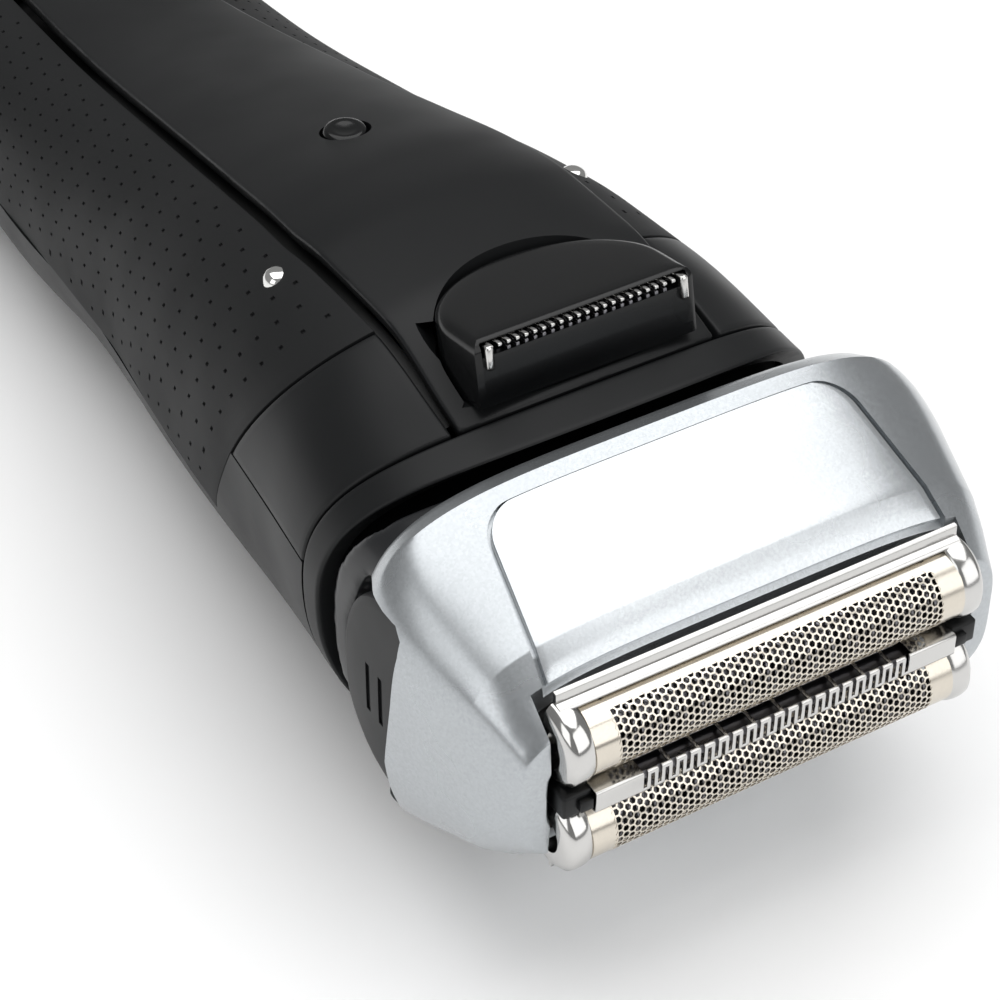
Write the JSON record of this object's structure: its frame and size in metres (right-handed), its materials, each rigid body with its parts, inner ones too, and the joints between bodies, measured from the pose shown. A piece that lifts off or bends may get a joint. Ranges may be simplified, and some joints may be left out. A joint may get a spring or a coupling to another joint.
{
  "type": "electric shaver",
  "caption": "Cordless foil shaver with a rocking head, floating foils, a comb trimmer between them, lift-off cassette, slide-out long-hair trimmer and rubber side grips.",
  "frame": {"origin": "centre of the surface that the shaver lies on, under the middle of its box", "axes": "+Y from the foils to the handle's end, +Z to the shaver's back, +X across the head"},
  "size_m": [0.0585, 0.16, 0.049],
  "materials": {
    "satin_silver": "satin metallic lacquer on moulded plastic",
    "silver_panel": "satin metallic lacquer, lighter",
    "bright_bezel": "polished nickel plate",
    "foil_nickel": "electroformed nickel, satin",
    "comb_steel": "bright stamped stainless steel",
    "cutter_steel": "ground stainless steel",
    "black_plastic": "moulded black plastic",
    "dark_satin": "dark grey satin moulding",
    "carrier_grey": "dark grey semi-gloss moulding",
    "grip_rubber": "soft-touch rubber with small dimples",
    "gloss_black": "polished black moulding",
    "contact_chrome": "polished plating",
    "seal_rubber": "moulded rubber",
    "board_green": "solder mask on glass laminate",
    "cell_wrap": "shrink sleeve",
    "nickel_strip": "nickel strip",
    "yoke_alloy": "die cast",
    "copper_coil": "enamelled copper winding",
    "lens_smoke": "smoked display window"
  },
  "bodies": {
    "handle": {"neck_collar": "dark_satin", "shoulder_left": "dark_satin", "shoulder_right": "dark_satin", "side_grip_left": "grip_rubber", "side_grip_right": "grip_rubber", "rear_panel": "dark_satin", "front_cover": "dark_satin", "inner_chassis": "black_plastic", "display_lens": "lens_smoke", "display_module": "board_green", "circuit_board": "board_green", "power_switch": "black_plastic", "control_chip": "black_plastic", "battery_cell": "cell_wrap", "battery_tabs": "nickel_strip", "charging_contacts": "contact_chrome", "base_cap": "dark_satin", "power_socket": "black_plastic", "socket_pins": "contact_chrome", "base_seal": "seal_rubber", "base_screws": "comb_steel", "head_yoke": "yoke_alloy", "trimmer_guide": "black_plastic"},
    "power_key": {"power_button": "contact_chrome"},
    "lock_key": {"head_lock_slider": "dark_satin"},
    "release_key": {"trimmer_release": "gloss_black"},
    "trimmer": {"trimmer_housing": "gloss_black", "trimmer_comb": "comb_steel"},
    "trimmer_blade": {"trimmer_cutter": "comb_steel"},
    "head": {"head_carrier": "carrier_grey", "pivot_pins": "comb_steel", "motor_stator": "cutter_steel", "motor_coil": "copper_coil", "drive_cover": "black_plastic", "drive_seals": "seal_rubber"},
    "left_key": {"release_button_left": "dark_satin"},
    "right_key": {"release_button_right": "dark_satin"},
    "rear_drive": {"drive_rear": "yoke_alloy"},
    "front_drive": {"drive_front": "yoke_alloy"},
    "cassette": {"cassette_frame": "satin_silver", "cassette_back_panel": "silver_panel", "cassette_front_panel": "silver_panel", "cassette_core": "black_plastic", "foil_springs_rear": "comb_steel", "foil_springs_front": "comb_steel"},
    "rear_foil_unit": {"foil_rear": "foil_nickel", "foil_bezel_rear": "bright_bezel"},
    "front_foil_unit": {"foil_front": "foil_nickel", "foil_bezel_front": "bright_bezel"},
    "comb_unit": {"comb_channel": "comb_steel", "comb_carriers": "black_plastic"},
    "comb_blade": {"comb_cutter": "cutter_steel"},
    "rear_cutter": {"cutter_rear": "cutter_steel"},
    "front_cutter": {"cutter_front": "cutter_steel"}
  },
  "joints": [
    {"name": "head_tilt", "type": "hinge", "parent": "handle", "child": "head", "pos_m": [0, -0.0675, 0.0245], "axis": [1, 0, 0], "range_deg": [-20, 20], "stiffness_Nm_per_rad": 0.08},
    {"name": "power_press", "type": "slide", "parent": "handle", "child": "power_key", "axis": [0, 0, 1], "range_m": [0, 0.0008], "stiffness_N_per_m": 500},
    {"name": "head_lock", "type": "slide", "parent": "handle", "child": "lock_key", "axis": [0, 1, 0], "range_m": [0, 0.004]},
    {"name": "trimmer_release_press", "type": "slide", "parent": "handle", "child": "release_key", "axis": [0, 0, -1], "range_m": [0, 0.001], "stiffness_N_per_m": 400},
    {"name": "trimmer_slide", "type": "slide", "parent": "handle", "child": "trimmer", "axis": [0, -0.9781, 0.2079], "range_m": [0, 0.007]},
    {"name": "trimmer_stroke", "type": "slide", "parent": "trimmer", "child": "trimmer_blade", "axis": [1, 0, 0], "range_m": [-0.0008, 0.0008]},
    {"name": "cassette_lift", "type": "slide", "parent": "head", "child": "cassette", "axis": [0, -1, 0], "range_m": [0, 0.012]},
    {"name": "left_release", "type": "slide", "parent": "head", "child": "left_key", "axis": [1, 0, 0], "range_m": [0, 0.0009], "stiffness_N_per_m": 400},
    {"name": "right_release", "type": "slide", "parent": "head", "child": "right_key", "axis": [-1, 0, 0], "range_m": [0, 0.0009], "stiffness_N_per_m": 400},
    {"name": "drive_stroke", "type": "slide", "parent": "head", "child": "rear_drive", "axis": [1, 0, 0], "range_m": [-0.001, 0.001], "stiffness_N_per_m": 300},
    {"name": "counter_stroke", "type": "slide", "parent": "head", "child": "front_drive", "axis": [1, 0, 0], "range_m": [-0.001, 0.001]},
    {"name": "rear_foil_float", "type": "slide", "parent": "cassette", "child": "rear_foil_unit", "axis": [0, 1, 0], "range_m": [0, 0.0012], "stiffness_N_per_m": 400, "deforming": ["foil_springs_rear"]},
    {"name": "front_foil_float", "type": "slide", "parent": "cassette", "child": "front_foil_unit", "axis": [0, 1, 0], "range_m": [0, 0.0012], "stiffness_N_per_m": 400, "deforming": ["foil_springs_front"]},
    {"name": "comb_float", "type": "slide", "parent": "cassette", "child": "comb_unit", "axis": [0, 1, 0], "range_m": [0, 0.0012], "stiffness_N_per_m": 300},
    {"name": "rear_cutter_stroke", "type": "slide", "parent": "rear_foil_unit", "child": "rear_cutter", "axis": [1, 0, 0], "range_m": [-0.001, 0.001]},
    {"name": "front_cutter_stroke", "type": "slide", "parent": "front_foil_unit", "child": "front_cutter", "axis": [1, 0, 0], "range_m": [-0.001, 0.001]},
    {"name": "comb_stroke", "type": "slide", "parent": "comb_unit", "child": "comb_blade", "axis": [1, 0, 0], "range_m": [-0.001, 0.001]}
  ],
  "couplings": [
    {"joint": "counter_stroke", "follows": "drive_stroke", "ratio": -1},
    {"joint": "rear_cutter_stroke", "follows": "drive_stroke", "ratio": 1},
    {"joint": "front_cutter_stroke", "follows": "drive_stroke", "ratio": -1},
    {"joint": "comb_stroke", "follows": "drive_stroke", "ratio": 1},
    {"joint": "trimmer_stroke", "follows": "drive_stroke", "ratio": 0.8}
  ]
}
